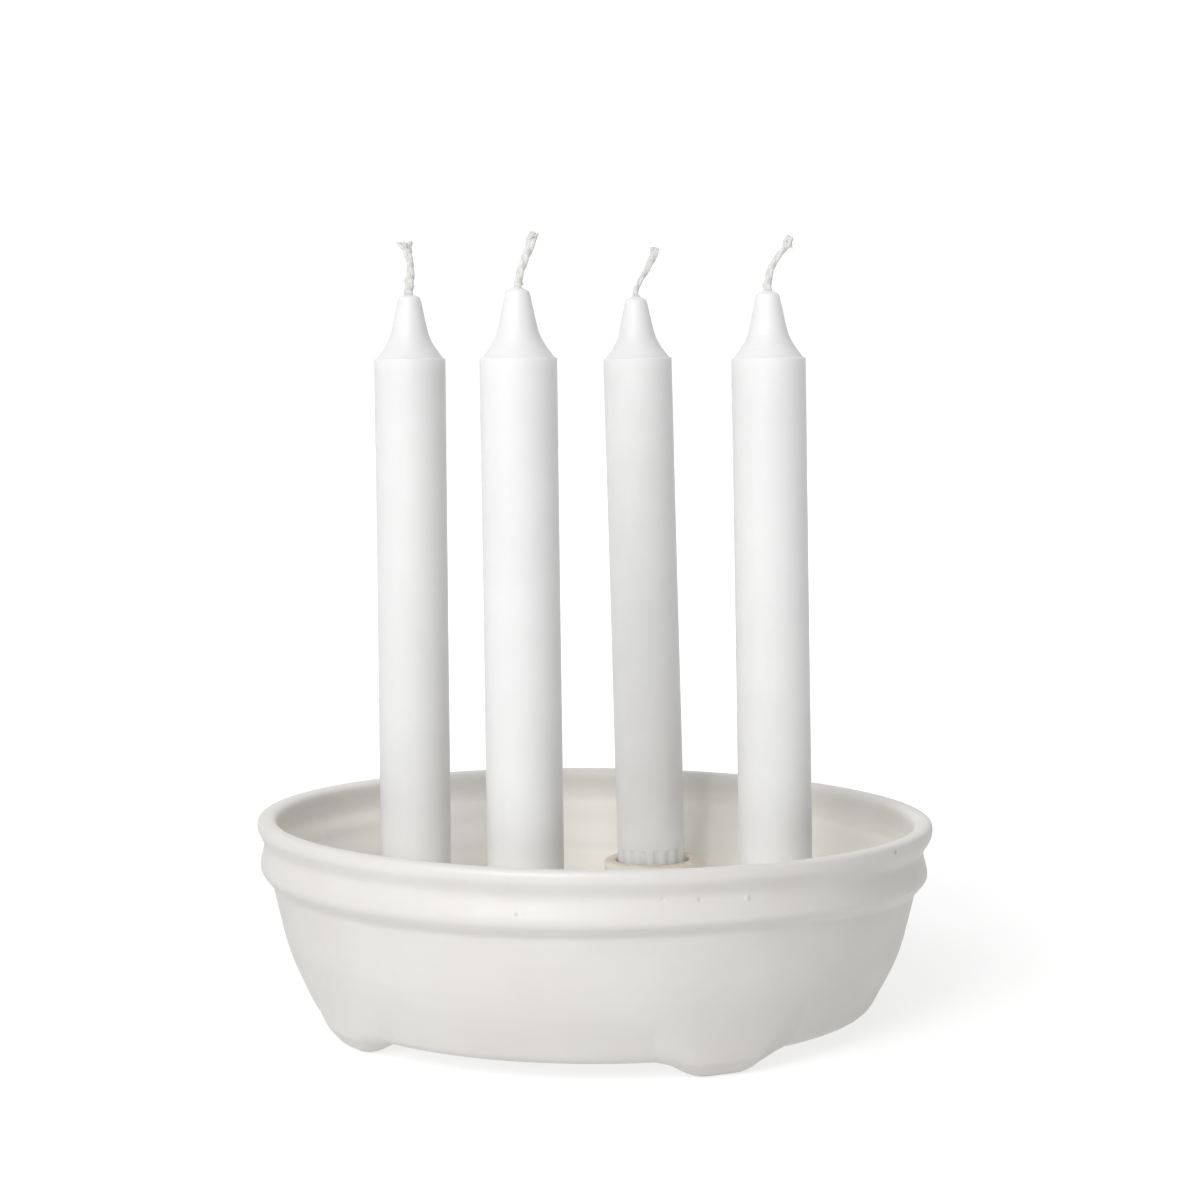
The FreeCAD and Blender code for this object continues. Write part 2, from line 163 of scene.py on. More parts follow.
# The search for the skin: where it starts on each ray, its steps and their number, and halvings
SEARCH_START = -1.5
SEARCH_STEP = 0.3
SEARCH_STEPS = 40
HALVINGS = 12

# How deep the edge of the smeared clay is sunk into the bowl, and the thickness that is left out
EDGE_SUNK = 0.16
LEAST_SMEAR = 0.02

# The round of the sole's edge, and the reach of the clay that was smeared from foot to bowl
SOLE_ROUND = 2.6
SMEAR_REACH = 6.0

# The cups' outline, from the skirt that is luted to the floor, up, over the rim and down the bore
CUP_CORNERS = (
    (19.2, -0.5, 0.0),
    (17.1, 0.55, 2.5),
    (15.65, 3.0, 4.0),
    (15.65, 27.6, 1.7),
    (12.0, 27.6, 1.5),
    (12.0, 9.5, 1.0),
    (0.0, 9.5, 0.0),
)

# How far out the cups stand, at which angles, and the unevenness of each: the depth of its finger
# marks and the length in which they repeat, and how far its rim is out of round and out of level
CUP_CIRCLE = 58.3
CUP_ANGLES = (180.0, 270.0, 90.0, 0.0)
CUP_MARK_DEPTH = 0.09
CUP_MARKS = 5.4
CUP_OVAL = 0.14
CUP_TILT = 0.16

# A candle's length to the crown's tip, the height of its shoulder, and the length of its flutes
CANDLE_LENGTH = 200.0
SHOULDER_HEIGHT = 180.4
FLUTE_LENGTH = 22.0

# A candle's outline, from the middle of its underside to the wick
CANDLE_CORNERS = (
    (0.0, 0.0, 0.0),
    (10.5, 0.0, 0.7),
    (11.0, FLUTE_LENGTH, 9.0),
    (11.0, SHOULDER_HEIGHT, 0.15),
    (10.3, 180.45, 0.3),
    (6.2, 186.1, 28.0),
    (3.4, 199.2, 1.6),
    (1.5, 200.05, 0.5),
)

# Half a flute's width as a share of their pitch, and the share of their depth left at their top
FLUTE_SHARE = 0.36
FLUTE_TOP = 0.6

# Lengths in which the mould rings on the crown repeat
RING_PITCH = 1.25
SLOW_RING_PITCH = 2.1

# The longest steps along a candle's outline, where its shape changes and where it is plain
FINE_STEP = 0.8
PLAIN_STEP = 18.0

# How far the wax climbs each wick above the crown
WAX_COLLARS = (0.5, 0.4, 0.7, 0.6)

# The route of each wick's free end in the plane of the photograph: to the side of the candle's
# axis, and above the crown
WICK_TAILS = (
    ((-0.3, 1.2), (0.3, 4.6), (0.6, 8.4), (0.0, 12.2), (-0.4, 16.4)),
    ((0.0, 1.2), (1.1, 5.4), (3.5, 11.2), (4.9, 15.7)),
    ((-0.3, 2.2), (1.7, 5.4), (5.8, 12.0), (6.8, 15.6)),
    ((0.0, 2.6), (0.8, 6.2), (3.2, 10.4), (5.9, 13.3), (7.1, 16.0)),
)

# The plait turns and frays, so it looks wider or narrower along its free end: the way along above
# the crown, half its width in the photographed view, and half its depth
WICK_WIDTHS = (
    ((0.0, 1.5, 1.1), (5.0, 1.5, 1.0), (9.0, 1.1, 0.95), (12.0, 1.15, 0.95), (16.6, 1.5, 0.9)),
    ((0.0, 1.2, 1.0), (6.0, 1.2, 1.0), (12.0, 1.3, 1.0), (16.8, 1.7, 1.1)),
    ((0.0, 1.05, 0.9), (5.0, 0.9, 0.9), (11.0, 1.1, 0.9), (17.2, 1.6, 0.75)),
    (
        (0.0, 1.3, 1.1), (5.0, 1.2, 1.0), (10.0, 0.95, 0.9),
        (14.0, 1.05, 0.9), (16.0, 1.55, 1.2), (17.9, 1.2, 1.0),
    ),
)

# The length in which each plait repeats, as a share of the tightest one's
WICK_LAYS = (1.8, 2.1, 2.6, 2.6)

# How far the plies of each wick part at its end, to the left and right
WICK_SPLITS = (
    (-2.6, 1.5, -1.2),
    (-0.1, 0.6, 0.0),
    (-0.15, 0.0, 0.15),
    (0.1, -0.1, 0.0),
)

# Tufts of loose fibre: way along above the crown, side (-1 left, 1 right), and how many fibres
WICK_TUFTS = (
    ((4.2, -1, 9), (2.6, 1, 7)),
    ((1.4, 1, 14),),
    ((9.0, 1, 2),),
    ((1.8, -1, 9), (15.6, 1, 8)),
)

# Loose fibres at each wick's end, and how deeply the tip of each crown is creased
WICK_ENDS = (8, 6, 4, 8)
TIP_CREASES = (0.02, 0.1, 0.015, 0.03)

# How far below the crown's tip the plait starts
PLAIT_START = 2.5

# Shares of the plait's own size: its heart, each of its plies, and a yarn's of its ply, with the
# least and the most that a yarn may be, and the length in which the yarns turn round their ply
HEART_SHARE = 0.82
PLY_SHARE = 0.6
YARN_SHARE = 0.42
YARN_SIZES = (0.13, 0.3)
YARN_TURN = 9.0

# Half the width and depth of the wick inside the wax, and how thick loose fibres are drawn at the
# end and in the tufts, with their lengths. Real fibres are too fine to show.
BURIED_SIZE = (0.85, 0.8)
END_FIBRE = 0.08
TUFT_FIBRE = 0.1
FIBRE_LENGTHS = (0.5, 1.0)

# Steps along the outline of the bowl and of a cup, and along a plait
BOWL_STEP = 0.7
CUP_STEP = 0.5
PLAIT_STEP = 0.16

# Points round the bowl, a cup and a candle, and along each bend of an outline
BOWL_AROUND = 288
CUP_AROUND = 96
CANDLE_AROUND = 160
BEND_POINTS = 9

# The camera's place and tilt, in metres and degrees, and the width of its sensor in millimetres
CAMERA_PLACE = (0.2812, -0.8084)
CAMERA_TILT = -4.77
SENSOR_WIDTH = 36.0

# The lamps' distance and size, and the height that they aim at, in metres
LAMP_DISTANCE = 3.0
LAMP_SIZE = 1.6
LAMP_AIM = 0.1

# The soft lamps: name, heading from the photographed view, elevation, and share of the key's power
LAMPS = (
    ("key", -30.0, 25.0, 1.0),
    ("upper_key", -24.0, 48.0, 0.37),
    ("front_fill", -8.0, 30.0, 0.44),
)

# White walls and ceiling: heading from the photographed view, elevation, and strength
SURROUNDINGS = (
    (0.0, 30.0, 0.18),
    (180.0, 30.0, 1.0),
)

# How white the surroundings are to the camera alone
SEEN_WHITE = 1.05

# Radii of the floor's rings
FLOOR_RINGS = (80.0, 160.0, 400.0, 1000.0, 2500.0, 6000.0)
FLOOR_AROUND = 64

# The finish that the bowl, its feet and its cups share
GLAZE = "Satin white glaze on stoneware"

# Each finish's second colour, which the one that a user sets passes into
CLOUDED_GLAZE = "#DDDAD6"
CLAY_IN_PIT = "#6F675C"
CLOUDED_WAX = "#E4E4E4"
COTTON_FIBRES = "#D0D0CD"
# Painted shade for the yarns deep in the plait
COTTON_PAINTED_SHADE = "#B4B3AF"
CLOUDED_BOARD = "#A1A1A0"

# Share of the finer detail in every soft random pattern, and the part of its range that is used
NOISE_ROUGHNESS = 0.55
NOISE_RANGE = {1: 0.3, 2: 0.7}

# Size and detail of the glaze's patterns: clouds, grain of the skin, slow ripple, the ragged edge
# of bare soles, and the patches of worn rims. Then the depths of the grain and of the ripple.
GLAZE_PATTERNS = ((26.0, 3.0), (2.2, 2.0), (9.0, 1.0), (3.0, 2.0), (5.0, 2.0))
GRAIN_DEPTH = 0.03
RIPPLE_DEPTH = 0.16

# The heights between which a sole's bare clay passes into glaze, and how ragged that edge is
SOLE_BARE = {1: 0.7 * MM, 2: 1.5 * MM}
SOLE_RAGGED = 0.8

# Sizes of the wax's clouds and grain, and their depths. The cotton's streaks, and theirs.
WAX_PATTERNS = (18.0, 1.6)
WAX_DEPTHS = (0.15, 0.02)
STREAK_SIZE = 0.4
STREAK_DEPTH = 0.04


def linear(colour):
    """An sRGB hex colour as the linear red, green, blue and alpha that sockets take."""
    values = [int(colour[start:start + 2], 16) / 255 for start in (1, 3, 5)]
    return [v / 12.92 if v <= 0.04045 else ((v + 0.055) / 1.055) ** 2.4 for v in values] + [1.0]


def per_mm(length):
    """The texture scale at which one feature of a pattern takes this many millimetres."""
    return 1.0 / (length * MM)


# Sizes and colours that a user may change

COLOUR = {"subtype": "COLOR", "size": 4, "min": 0.0, "max": 1.0}


class GlazeSettings(PropertyGroup):
    glaze_colour: FloatVectorProperty(
        name="Glaze",
        description="Colour of the satin glaze where it lies thick",
        **COLOUR,
        default=linear("#E1DFDB"),
    )
    # Also painted light: this lighter colour brightens the inside, the cups and the lip top.
    thin_glaze_and_light_colour: FloatVectorProperty(
        name="Thin glaze",
        description="Colour inside the bowl and on rims, where buff clay warms the glaze",
        **COLOUR,
        default=linear("#F1EFE9"),
    )
    clay_colour: FloatVectorProperty(
        name="Bare clay",
        description="Colour of the wiped soles and the worn cup rims",
        **COLOUR,
        default=linear("#CBB9A3"),
    )
    roughness: FloatProperty(
        name="Roughness",
        description="How satin the glaze is",
        subtype="FACTOR",
        min=0.0,
        max=1.0,
        default=0.42,
    )
    stray: FloatProperty(
        name="Stray",
        description="How far the wall strays from a true turning, as a share of the real one's",
        subtype="FACTOR",
        min=0.0,
        max=2.0,
        default=1.0,
    )
    throwing_marks: FloatProperty(
        name="Throwing marks",
        description="Depth of the finger marks inside the bowl",
        unit="LENGTH",
        min=0.0,
        max=0.002,
        precision=5,
        default=0.00007,
    )


class CandleSettings(PropertyGroup):
    wax_colour: FloatVectorProperty(
        name="Wax",
        description="Colour of the candles",
        **COLOUR,
        default=linear("#E7E7E7"),
    )
    flutes: IntProperty(
        name="Flutes",
        description="Number of flutes round the tapered base",
        min=6,
        max=32,
        default=16,
    )
    flute_depth: FloatProperty(
        name="Flute depth",
        description="Depth of the flutes at the underside",
        unit="LENGTH",
        min=0.0,
        max=0.002,
        precision=5,
        default=0.0007,
    )
    ring_depth: FloatProperty(
        name="Tool rings",
        description="Depth of the fine rings that the mould leaves on the crown",
        unit="LENGTH",
        min=0.0,
        max=0.0005,
        precision=6,
        default=0.00003,
    )


class WickSettings(PropertyGroup):
    cotton_colour: FloatVectorProperty(
        name="Cotton",
        description="Colour of the bleached cotton",
        **COLOUR,
        default=linear("#E0E0DE"),
    )
    yarns: IntProperty(
        name="Yarns",
        description="Yarns round the outside of each of the plait's three plies",
        min=3,
        max=12,
        default=8,
    )
    lay: FloatProperty(
        name="Lay",
        description="Length in which the tightest plait repeats",
        unit="LENGTH",
        min=0.003,
        max=0.03,
        precision=4,
        default=0.006,
    )


class StageSettings(PropertyGroup):
    floor_colour: FloatVectorProperty(
        name="Floor",
        description="Colour of the pale floor",
        **COLOUR,
        default=linear("#A3A3A3"),
    )
    key_power: FloatProperty(
        name="Key light",
        description="Power of the large soft light at the front left",
        unit="POWER",
        min=0.0,
        default=42.0,
    )
    surroundings: FloatProperty(
        name="Surroundings",
        description="Strength of the white surroundings that light the inside and the shaded sides",
        min=0.0,
        max=3.0,
        default=1.0,
    )
    lens: FloatProperty(
        name="Lens",
        description="Focal length of the camera on a sensor of 36 mm",
        unit="CAMERA",
        default=84.54,
    )
    camera_height: FloatProperty(
        name="Camera height",
        description="Height of the camera above the floor",
        unit="LENGTH",
        default=0.2001,
    )


# Outlines and meshes


def rounded_outline(corners):
    """Points along an outline, with a smooth bend in place of each corner that has a round."""
    points = [np.array(corners[0][:2], float)]
    for before, here, after in zip(corners, corners[1:], corners[2:]):
        corner = np.array(here[:2], float)
        back = np.array(before[:2]) - corner
        ahead = np.array(after[:2]) - corner
        lengths = np.hypot(*back), np.hypot(*ahead)
        turn = math.pi - math.acos(np.clip(back @ ahead / (lengths[0] * lengths[1]), -1, 1))
        # Two bends share each side, so one takes less than half of it.
        reach = min(here[2] * math.tan(turn / 2), 0.49 * min(lengths))
        start = corner + back / lengths[0] * reach
        end = corner + ahead / lengths[1] * reach
        for t in np.linspace(0, 1, BEND_POINTS):
            points.append((1 - t) ** 2 * start + 2 * t * (1 - t) * corner + t ** 2 * end)
    points.append(np.array(corners[-1][:2], float))
    return np.array(points)


def evenly_spaced(points, spacing):
    """The same line with its points at equal steps of about this length, and the way to each."""
    runs = np.linalg.norm(np.diff(points, axis=0), axis=1)
    way = np.concatenate([[0.0], np.cumsum(runs)])
    steps = np.linspace(0.0, way[-1], int(way[-1] / spacing) + 1)
    return np.column_stack([np.interp(steps, way, column) for column in points.T]), steps


def turned_outline(corners, spacing):
    """A rounded outline in even steps, its bends softened a little more, as glaze softens them."""
    points = evenly_spaced(rounded_outline(corners), spacing)[0]
    points[1:-1] = (points[:-2] + 2 * points[1:-1] + points[2:]) / 4
    return points


def smooth_step(value, low, high):
    """0 below low, 1 above high, and an easy rise between them."""
    share = np.clip((value - low) / (high - low), 0.0, 1.0)
    return share * share * (3 - 2 * share)


def circle(count):
    """This many angles, evenly spaced all the way round."""
    return np.linspace(0, 2 * math.pi, count, endpoint=False)


def new_piece(name, points, faces, material):
    """A smooth-shaded mesh object, from points in millimetres."""
    mesh = bpy.data.meshes.new(name)
    mesh.from_pydata((np.asarray(points) * MM).tolist(), [], faces)
    mesh.shade_smooth()
    mesh.materials.append(material)
    piece = bpy.data.objects.new(name, mesh)
    bpy.context.scene.collection.objects.link(piece)
    return piece


def add_values(piece, name, values):
    """Stores one number for each point of a mesh, for its material to read."""
    attribute = piece.data.attributes.new(name, "FLOAT", "POINT")
    attribute.data.foreach_set("value", np.asarray(values, np.float32).ravel())


def turned_faces(count, around):
    """The faces between rows of points that close round an axis, with a pole at either end."""
    index = np.arange(count * around).reshape(count, around)
    beside = np.roll(index, -1, axis=1)
    quads = np.stack([index[:-1], beside[:-1], beside[1:], index[1:]], axis=-1).reshape(-1, 4)
    first_pole = count * around
    last_pole = first_pole + 1
    faces = quads.tolist()
    faces += [[first_pole, beside[0, i], index[0, i]] for i in range(around)]
    faces += [[last_pole, index[-1, i], beside[-1, i]] for i in range(around)]
    return faces


def turned_piece(name, rows, material):
    """A closed mesh through rows of points round an axis."""
    count, around = rows.shape[:2]
    points = np.vstack([rows.reshape(-1, 3), rows[0].mean(0), rows[-1].mean(0)])
    return new_piece(name, points, turned_faces(count, around), material)


def tube(centres, outwards, half_wide, half_thick, sides=8):
    """Points and faces of a closed tube of oval section. Outwards points across its thin way."""
    along = np.gradient(centres, axis=0)
    along /= np.linalg.norm(along, axis=1)[:, None]
    across = np.cross(along, outwards)
    across /= np.linalg.norm(across, axis=1)[:, None]
    out = np.cross(across, along)
    angles = circle(sides)
    wide = np.broadcast_to(half_wide, len(centres))[:, None, None]
    thick = np.broadcast_to(half_thick, len(centres))[:, None, None]
    ring = wide * np.cos(angles)[None, :, None] * across[:, None, :]
    ring = ring + thick * np.sin(angles)[None, :, None] * out[:, None, :]
    rows = centres[:, None, :] + ring
    points = np.vstack([rows.reshape(-1, 3), centres[:1], centres[-1:]])
    return points, turned_faces(len(centres), sides)


def joined(parts):
    """The points and faces of several parts as one."""
    points = []
    faces = []
    offset = 0
    for part_points, part_faces in parts:
        points.append(part_points)
        faces += [[int(index) + offset for index in face] for face in part_faces]
        offset += len(part_points)
    return np.vstack(points), faces


# Materials


def add_node(tree, kind, inputs=None, output=0, **settings):
    """Adds a node with its settings and links, and gives the output asked for, if it has any."""
    node = tree.nodes.new("ShaderNode" + kind)
    for name, value in settings.items():
        setattr(node, name, value)
    for name, value in (inputs or {}).items():
        if isinstance(value, bpy.types.NodeSocket):
            tree.links.new(value, node.inputs[name])
        else:
            node.inputs[name].default_value = value
    return node.outputs[output] if node.outputs else None


def new_material(name):
    """An empty node material, its tree, and the place on the object that patterns are laid by."""
    material = bpy.data.materials.new(name)
    material.use_nodes = True
    tree = material.node_tree
    tree.nodes.clear()
    return material, tree, add_node(tree, "TexCoord", output="Object")


def finish_material(tree, shader_inputs, height):
    """The surface shader, with the bumps of a height pattern in millimetres."""
    bump = add_node(tree, "Bump", {"Strength": 1.0, "Distance": MM, "Height": height})
    surface = add_node(tree, "BsdfPrincipled", {**shader_inputs, "Normal": bump})
    add_node(tree, "OutputMaterial", {"Surface": surface})


def glazed_stoneware(settings):
    """Satin tin-white glaze, dipped and fired over buff stoneware.

    The eye gets a soft, clouded white with an uneven skin, warmer where the glaze is thinner, and
    lighter inside the bowl and the cups and along the lip top, which is painted light. It has a few
    pits and lumps, and bare clay along the wiped soles and the worn cup rims.
    """
    material, tree, place = new_material(GLAZE)
    clouds, skin, ripple, ragged, patches = (
        add_node(tree, "TexNoise", {
            "Vector": place, "Scale": per_mm(size), "Detail": detail, "Roughness": NOISE_ROUGHNESS,
        })
        for size, detail in GLAZE_PATTERNS
    )
    # Thin glaze, and painted light: its lighter colour brightens the inside, cups and lip top.
    thin_and_painted_light = add_node(tree, "Attribute", output="Fac", attribute_name="thin_glaze_and_painted_light")
    worn = add_node(tree, "Attribute", output="Fac", attribute_name="worn_edge")
    cloudy = add_node(tree, "MapRange", {0: clouds, **NOISE_RANGE})

    height = add_node(tree, "Math", {0: skin, 1: GRAIN_DEPTH}, operation="MULTIPLY")
    slow = {0: ripple, 1: RIPPLE_DEPTH, 2: height}
    height = add_node(tree, "Math", slow, operation="MULTIPLY_ADD")
    wall = outer_wall()
    dark = 0.0
    for angle, up, radius, stand in GLAZE_MARKS:
        heading = math.radians(angle)
        out = float(np.interp(up, *wall))
        centre = (out * math.cos(heading) * MM, out * math.sin(heading) * MM, up * MM)
        away = add_node(tree, "VectorMath", {0: place, 1: centre}, "Value", operation="DISTANCE")
        mark = add_node(tree, "MapRange", {0: away, 2: radius * MM, 3: 1.0, 4: 0.0})
        mark = add_node(tree, "Math", {0: mark, 1: 1.5}, operation="POWER")
        height = add_node(tree, "Math", {0: mark, 1: stand, 2: height}, operation="MULTIPLY_ADD")
        if stand <= CLAY_PIT:
            edges = {1: 0.25 * radius * MM, 2: 0.7 * radius * MM}
            dark = add_node(tree, "MapRange", {0: away, **edges, 3: 0.8, 4: 0.0})

    # The soles were wiped clean of glaze, so the lowest millimetre is bare, with a ragged edge.
    level = add_node(tree, "SeparateXYZ", {0: place}, "Z")
    edge = {0: ragged, 1: SOLE_RAGGED * MM, 2: level}
    level = add_node(tree, "Math", edge, operation="MULTIPLY_ADD")
    sole = add_node(tree, "MapRange", {0: level, **SOLE_BARE, 3: 1.0, 4: 0.0})
    patchy = add_node(tree, "MapRange", {0: patches, 1: 0.25, 2: 0.6, 3: 0.5})
    rim = add_node(tree, "Math", {0: worn, 1: patchy}, operation="MULTIPLY")
    bare = add_node(tree, "Math", {0: sole, 1: rim}, operation="MAXIMUM")

    colour = settings.glaze_colour
    for share, over in (
        (cloudy, linear(CLOUDED_GLAZE)),
        (thin_and_painted_light, settings.thin_glaze_and_light_colour),
        (dark, linear(CLAY_IN_PIT)),
        (bare, settings.clay_colour),
    ):
        colour = add_node(tree, "Mix", {0: share, 6: colour, 7: over}, 2, data_type="RGBA")

    # The glaze is a little smoother in some places than in others, and bare clay is rough.
    levels = {3: settings.roughness - 0.04, 4: settings.roughness + 0.05}
    satin = add_node(tree, "MapRange", {0: clouds, **NOISE_RANGE, **levels})
    roughness = add_node(tree, "Math", {0: bare, 1: 0.4, 2: satin}, operation="MULTIPLY_ADD")
    finish_material(tree, {"Base Color": colour, "Roughness": roughness, "IOR": 1.5}, height)
    return material


def cast_wax(settings):
    """Stearin wax, drawn from a polished mould.

    The eye gets an even, milky white that light sinks into a little, with a soft sheen.
    """
    material, tree, place = new_material("Stearin wax")
    clouds, grain = (
        add_node(tree, "TexNoise", {
            "Vector": place, "Scale": per_mm(size), "Roughness": NOISE_ROUGHNESS,
        })
        for size in WAX_PATTERNS
    )
    share = add_node(tree, "MapRange", {0: clouds, **NOISE_RANGE})
    colours = {0: share, 6: settings.wax_colour, 7: linear(CLOUDED_WAX)}
    colour = add_node(tree, "Mix", colours, 2, data_type="RGBA")
    height = add_node(tree, "Math", {0: clouds, 1: WAX_DEPTHS[0]}, operation="MULTIPLY")
    fine = {0: grain, 1: WAX_DEPTHS[1], 2: height}
    height = add_node(tree, "Math", fine, operation="MULTIPLY_ADD")
    shader_inputs = {
        "Base Color": colour,
        "Roughness": 0.45,
        "IOR": 1.44,
        "Subsurface Weight": 0.85,
        "Subsurface Radius": (1.0, 0.98, 0.96),
        "Subsurface Scale": 5.0 * MM,
    }
    finish_material(tree, shader_inputs, height)
    return material


def braided_cotton(settings):
    """Bleached cotton, braided and a little waxed.

    The eye gets matt off-white strands with fine lengthwise fibres, and painted shade that darkens
    the yarns lying deep in the plait.
    """
    material, tree, place = new_material("Braided bleached cotton")
    stretched = add_node(tree, "Mapping", {"Vector": place, "Scale": (1.0, 1.0, 0.25)})
    # A cotton fibre is about 0.02 mm thick. The streaks are drawn at 0.4 mm, so that they show.
    streak = {"Scale": per_mm(STREAK_SIZE), "Roughness": NOISE_ROUGHNESS, "Vector": stretched}
    fibres = add_node(tree, "TexNoise", streak)
    # Painted shade: yarns deep in the plait are darkened, as shade falls between them.
    depth = add_node(tree, "Attribute", output="Fac", attribute_name="strand_depth_for_painted_shade")
    streaks = add_node(tree, "MapRange", {0: fibres, 1: 0.35, 2: 0.7, 4: 0.6})
    painted_shade_in_hollows = add_node(tree, "MapRange", {0: depth, 3: 0.6, 4: 0.0})
    colour = settings.cotton_colour
    for share, over in ((streaks, linear(COTTON_FIBRES)), (painted_shade_in_hollows, linear(COTTON_PAINTED_SHADE))):
        colour = add_node(tree, "Mix", {0: share, 6: colour, 7: over}, 2, data_type="RGBA")
    height = add_node(tree, "Math", {0: fibres, 1: STREAK_DEPTH}, operation="MULTIPLY")
    shader_inputs = {
        "Base Color": colour,
        "Roughness": 0.9,
        "Sheen Weight": 0.25,
        "Sheen Roughness": 0.5,
    }
    finish_material(tree, shader_inputs, height)
    return material


def pale_floor(settings):
    """Matt white board.

    The eye gets a plain white ground that keeps only a soft contact shadow, and passes into the
    white surroundings further out.
    """
    material, tree, place = new_material("Matt white board")
    # The board is whiter to the camera than the light that it gives the plate.
    seen = add_node(tree, "LightPath", output="Is Camera Ray")
    share = add_node(tree, "MapRange", {0: seen, 3: 0.8, 4: 1.12})
    away = add_node(tree, "VectorMath", {0: place}, "Value", operation="LENGTH")
    further = add_node(tree, "MapRange", {0: away, 1: 0.15, 2: 1.3, 3: 0.62})
    glow = add_node(tree, "Math", {0: share, 1: further}, operation="MULTIPLY")
    shine = add_node(tree, "Emission", {"Strength": glow})
    cloud = {"Scale": per_mm(60.0), "Roughness": NOISE_ROUGHNESS, "Vector": place}
    clouds = add_node(tree, "TexNoise", cloud)
    colours = {0: clouds, 6: settings.floor_colour, 7: linear(CLOUDED_BOARD)}
    tint = add_node(tree, "Mix", colours, 2, data_type="RGBA")
    board = add_node(tree, "BsdfDiffuse", {"Color": tint, "Roughness": 0.5})
    both = add_node(tree, "AddShader", {0: board, 1: shine})
    add_node(tree, "OutputMaterial", {"Surface": both})
    return material


# The bowl


def outer_wall():
    """The outer wall as heights and the radius at each."""
    outline = turned_outline(BOWL_CORNERS, BOWL_STEP)
    wall = outline[: int(outline[:, 1].argmax())]
    wall = wall[wall[:, 0] > BASE_RADIUS]
    return wall[:, 1], wall[:, 0]


def strayed(points, share):
    """Points of a true turning moved to where the hand-thrown wall has them."""
    x, y, z = np.moveaxis(points, -1, 0)
    radius = np.hypot(x, y)
    angle = np.arctan2(y, x)
    view_angle = angle - math.radians(PHOTO_HEADING)
    table = np.array(WALL_STRAY)
    up_cosine, up, up_sine, out_cosine, up_swell = (
        np.interp(z, table[:, 0], table[:, column]) for column in (1, 2, 3, 4, 5)
    )
    on_wall = smooth_step(radius, *STRAY_FROM_TO) * share
    from_swell = np.degrees(np.angle(np.exp(1j * (view_angle - math.radians(SWELL_ANGLE)))))
    swell = np.exp(-0.5 * (from_swell / SWELL_SPREAD) ** 2)
    rise = up_cosine * np.cos(view_angle) + up + up_sine * np.sin(view_angle) + up_swell * swell
    height = z + on_wall * rise
    wobble = sum(size * np.sin(count * angle + turn) for size, count, turn in WALL_WAVES)
    out = on_wall * (out_cosine * np.cos(view_angle) + smooth_step(z, *WAVES_FROM_TO) * wobble)
    factor = np.where(radius > 1e-6, (radius + out) / np.maximum(radius, 1e-6), 1.0)
    return np.stack([x * factor, y * factor, height], axis=-1)


def throwing_marks(way, angle, inside):
    """The finger marks' height, spiralling along the outline, deeper inside than out."""
    broad = np.sin(2 * math.pi * way / BROAD_MARKS + angle)
    fine = 0.5 * np.sin(2 * math.pi * way / FINE_MARKS + angle + 1.0)
    inner = broad + fine
    outer = 0.25 * np.sin(2 * math.pi * way / OUTER_MARKS + angle)
    return inside * inner + (1 - inside) * outer


def make_bowl(glaze, settings):
    """The thrown bowl, with finger marks and a wavering wall."""
    outline = turned_outline(BOWL_CORNERS, BOWL_STEP)
    angles = circle(BOWL_AROUND)
    top = int(outline[:, 1].argmax())
    steps = np.gradient(outline, axis=0)
    lengths = np.hypot(*steps.T)
    normals = np.column_stack([steps[:, 1], -steps[:, 0]]) / lengths[:, None]
    way = np.cumsum(lengths)[:, None]
    past_lip = np.arange(len(outline)) - top
    inside = smooth_step(past_lip, 8, 20)[:, None]
    off_axis = smooth_step(outline[:, 0], 4.0, 20.0)[:, None]
    flat_base = 1 - smooth_step(BASE_RADIUS - outline[:, 0], 0.0, 4.0)[:, None] * (1 - inside)
    marks = throwing_marks(way, angles[None, :], inside) * off_axis * flat_base
    marks = marks * settings.throwing_marks / MM
    radius = outline[:, :1] + normals[:, :1] * marks
    height = outline[:, 1:] + normals[:, 1:] * marks
    rows = np.stack([radius * np.cos(angles), radius * np.sin(angles), height], axis=-1)
    rows = strayed(rows[1:-1], settings.stray)
    bowl = turned_piece("thrown_bowl", rows, glaze)
    # Warmer thin glaze inside and on the lip top, whose lighter colour is also painted light
    lip_thin_and_painted_light = 0.35 * np.exp(-((past_lip - 3) / 5.0) ** 2)
    thin_and_painted_light = np.clip(inside[:, 0] + lip_thin_and_painted_light, 0, 1)[1:-1]
    add_values(bowl, "thin_glaze_and_painted_light", np.append(np.repeat(thin_and_painted_light, len(angles)), [0.0, 1.0]))
    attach(bowl, "plate")
    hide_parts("bowl")


# The feet


def eased_lower(first, second, reach):
    """The lower of two distances, with a fillet of this reach where they meet."""
    overlap = np.maximum(reach - np.abs(first - second), 0.0) / reach
    return np.minimum(first, second) - overlap ** 2 * reach / 4


def wall_distance(radius, height, wall):
    """Distance outside the bowl's outer face, negative in the clay."""
    away = np.full(radius.shape, np.inf)
    for start, run in zip(wall, np.diff(wall, axis=0)):
        to_x = radius - start[0]
        to_z = height - start[1]
        share = np.clip((to_x * run[0] + to_z * run[1]) / (run @ run), 0.0, 1.0)
        away = np.minimum(away, np.hypot(to_x - share * run[0], to_z - share * run[1]))
    rising = wall[wall[:, 0] > 80.0]
    in_clay = (height > BASE_HEIGHT) & (radius < np.interp(height, rising[:, 1], rising[:, 0]))
    return np.where(in_clay, -away, away)


